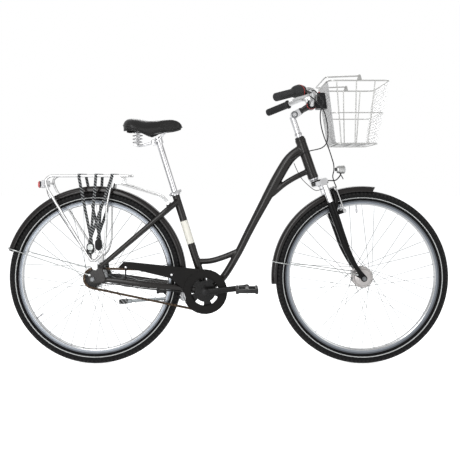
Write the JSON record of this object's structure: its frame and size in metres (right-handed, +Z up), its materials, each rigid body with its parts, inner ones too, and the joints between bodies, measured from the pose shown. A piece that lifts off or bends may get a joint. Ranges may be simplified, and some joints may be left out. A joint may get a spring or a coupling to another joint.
{
  "type": "city bicycle",
  "caption": "Step-through city bicycle with front basket, rear rack, mudguards, chain guard, sprung fork and sprung saddle.",
  "frame": {"origin": "on the ground midway between the wheel axles' vertical lines, in the middle plane: the bottom centre of the whole bicycle's box", "axes": "+X forward, +Y to the rider's left, +Z up; the chain side faces -Y"},
  "size_m": [1.8121, 0.6204, 1.1683],
  "materials": {
    "frame_paint": "satin",
    "gloss_dark": "gloss",
    "fork_black": "gloss",
    "polished_alloy": "polished",
    "satin_steel": "satin",
    "chrome": "polished",
    "rubber_black": "matte",
    "tyre": "matte",
    "plastic_black": "matte",
    "saddle_cover": "matte",
    "webbing": "matte",
    "red_lens": "gloss",
    "chain_steel": "satin"
  },
  "bodies": {
    "frame_body": {"frame": "frame_paint", "bottom_bracket": "satin_steel", "headset_lower": "plastic_black", "headset_upper": "plastic_black", "seat_collar": "polished_alloy", "chain_guard": "plastic_black", "chain": "chain_steel", "shift_drum": "polished_alloy", "coaster_arm": "satin_steel", "rear_axle": "satin_steel", "rear_mudguard": "gloss_dark", "rack": "polished_alloy", "rack_straps": "webbing", "tail_light": "red_lens", "light_wire": "plastic_black", "kickstand_mount": "satin_steel", "shift_cable": "plastic_black", "shift_cable_rear": "plastic_black", "lamp_wire": "plastic_black"},
    "seat_lever": {"seat_lever": "polished_alloy"},
    "seatpost": {"seatpost": "polished_alloy"},
    "saddle": {"saddle_rails": "chrome", "saddle_pan": "plastic_black", "saddle": "saddle_cover", "saddle_spring_right": "chrome", "saddle_spring_left": "chrome"},
    "kickstand": {"kickstand_leg": "chrome"},
    "crank": {"crank_spindle": "satin_steel", "chainring": "satin_steel", "crank_right": "polished_alloy", "crank_left": "polished_alloy"},
    "pedal_right": {"pedal_right": "plastic_black"},
    "pedal_left": {"pedal_left": "plastic_black"},
    "sprocket": {"sprocket": "chain_steel"},
    "rear_wheel": {"rear_hub": "polished_alloy", "rear_rim": "polished_alloy", "rear_tyre": "tyre"},
    "steering": {"fork_crown": "polished_alloy", "stem_quill": "polished_alloy", "headlamp": "plastic_black", "brake_cable": "plastic_black"},
    "fork_lower": {"fork_lowers": "fork_black", "front_axle": "satin_steel", "front_mudguard": "gloss_dark"},
    "front_wheel": {"front_hub": "polished_alloy", "front_rim": "polished_alloy", "front_tyre": "tyre"},
    "brake_arm_right": {"brake_arm_right": "satin_steel"},
    "brake_arm_left": {"brake_arm_left": "satin_steel"},
    "stem": {"stem_extension": "fork_black", "handlebar": "polished_alloy", "grip_right": "rubber_black", "grip_left": "rubber_black", "bar_controls": "plastic_black", "basket_adapter": "plastic_black"},
    "shift_grip": {"shift_grip": "rubber_black"},
    "brake_lever": {"brake_lever": "polished_alloy"},
    "release_button": {"release_button": "red_lens"},
    "basket": {"basket": "satin_steel"},
    "basket_handle": {"basket_handle": "satin_steel"}
  },
  "joints": [
    {"name": "steering", "type": "hinge", "parent": "frame_body", "child": "steering", "pos_m": [0.34926, 0, 0.76347], "axis": [-0.3256, 0, 0.9455], "range_deg": [-60, 60], "deforming": ["shift_cable", "lamp_wire"]},
    {"name": "fork_travel", "type": "slide", "parent": "steering", "child": "fork_lower", "axis": [-0.3256, 0, 0.9455], "range_m": [0, 0.022], "stiffness_N_per_m": 20000, "springref_m": -0.004, "deforming": ["brake_cable"]},
    {"name": "front_wheel_spin", "type": "hinge", "parent": "fork_lower", "child": "front_wheel", "pos_m": [0.549, 0, 0.356], "axis": [0, 1, 0], "continuous": true},
    {"name": "brake_arm_right_swing", "type": "hinge", "parent": "fork_lower", "child": "brake_arm_right", "pos_m": [0.46933, -0.045, 0.62978], "axis": [0.9455, 0, 0.3256], "range_deg": [-2.92, 0]},
    {"name": "brake_arm_left_swing", "type": "hinge", "parent": "fork_lower", "child": "brake_arm_left", "pos_m": [0.46933, 0.045, 0.62978], "axis": [0.9455, 0, 0.3256], "range_deg": [0, 2.92]},
    {"name": "stem_angle", "type": "hinge", "parent": "steering", "child": "stem", "pos_m": [0.27, 0, 1.02438], "axis": [0, 1, 0], "range_deg": [-30, 10], "deforming": ["shift_cable", "brake_cable"]},
    {"name": "shift_grip_twist", "type": "hinge", "parent": "stem", "child": "shift_grip", "pos_m": [0.17703, -0.297, 1.0633], "axis": [-0.7416, -0.6202, -0.2557], "range_deg": [0, 90]},
    {"name": "brake_lever_pull", "type": "hinge", "parent": "stem", "child": "brake_lever", "pos_m": [0.30945, -0.2277, 1.08445], "axis": [-0.1279, 0.505, -0.8536], "range_deg": [0, 12], "stiffness_Nm_per_rad": 0.6, "springref_deg": -2.86},
    {"name": "release_button_press", "type": "slide", "parent": "stem", "child": "release_button", "axis": [0, 0, -1], "range_m": [0, 0.003], "stiffness_N_per_m": 300, "springref_m": -0.0005},
    {"name": "basket_lift", "type": "slide", "parent": "stem", "child": "basket", "axis": [-0.1335, 0, 0.9911], "range_m": [0, 0.05]},
    {"name": "basket_handle_swing", "type": "hinge", "parent": "basket", "child": "basket_handle", "pos_m": [0.51003, 0, 1.1623], "axis": [0, 1, 0], "range_deg": [0, 175]},
    {"name": "saddle_height", "type": "slide", "parent": "frame_body", "child": "seatpost", "axis": [-0.3007, 0, 0.9537], "range_m": [-0.075, 0.06]},
    {"name": "saddle_tilt", "type": "hinge", "parent": "seatpost", "child": "saddle", "pos_m": [-0.30834, 0, 0.90942], "axis": [0, 1, 0], "range_deg": [-8, 8]},
    {"name": "seat_lever_open", "type": "hinge", "parent": "frame_body", "child": "seat_lever", "pos_m": [-0.24926, 0, 0.69213], "axis": [0, -1, 0], "range_deg": [0, 80]},
    {"name": "rear_wheel_spin", "type": "hinge", "parent": "frame_body", "child": "rear_wheel", "pos_m": [-0.549, 0, 0.356], "axis": [0, 1, 0], "continuous": true},
    {"name": "crank_spin", "type": "hinge", "parent": "frame_body", "child": "crank", "pos_m": [-0.09669, 0, 0.303], "axis": [0, 1, 0], "continuous": true, "deforming": ["chain"]},
    {"name": "sprocket_spin", "type": "hinge", "parent": "frame_body", "child": "sprocket", "pos_m": [-0.549, 0, 0.356], "axis": [0, 1, 0], "continuous": true, "deforming": ["chain"]},
    {"name": "pedal_right_spin", "type": "hinge", "parent": "crank", "child": "pedal_right", "pos_m": [0.07204, -0.1335, 0.32372], "axis": [0, 1, 0], "continuous": true},
    {"name": "pedal_left_spin", "type": "hinge", "parent": "crank", "child": "pedal_left", "pos_m": [-0.26542, 0.1335, 0.28228], "axis": [0, 1, 0], "continuous": true},
    {"name": "kickstand_fold", "type": "hinge", "parent": "frame_body", "child": "kickstand", "pos_m": [-0.18999, 0.053, 0.262], "axis": [0, -1, 0], "range_deg": [0, 115]}
  ],
  "couplings": [
    {"joint": "brake_arm_right_swing", "follows": "brake_lever_pull", "ratio": -0.2385},
    {"joint": "brake_arm_left_swing", "follows": "brake_lever_pull", "ratio": 0.2385},
    {"joint": "sprocket_spin", "follows": "crank_spin", "ratio": 2}
  ]
}
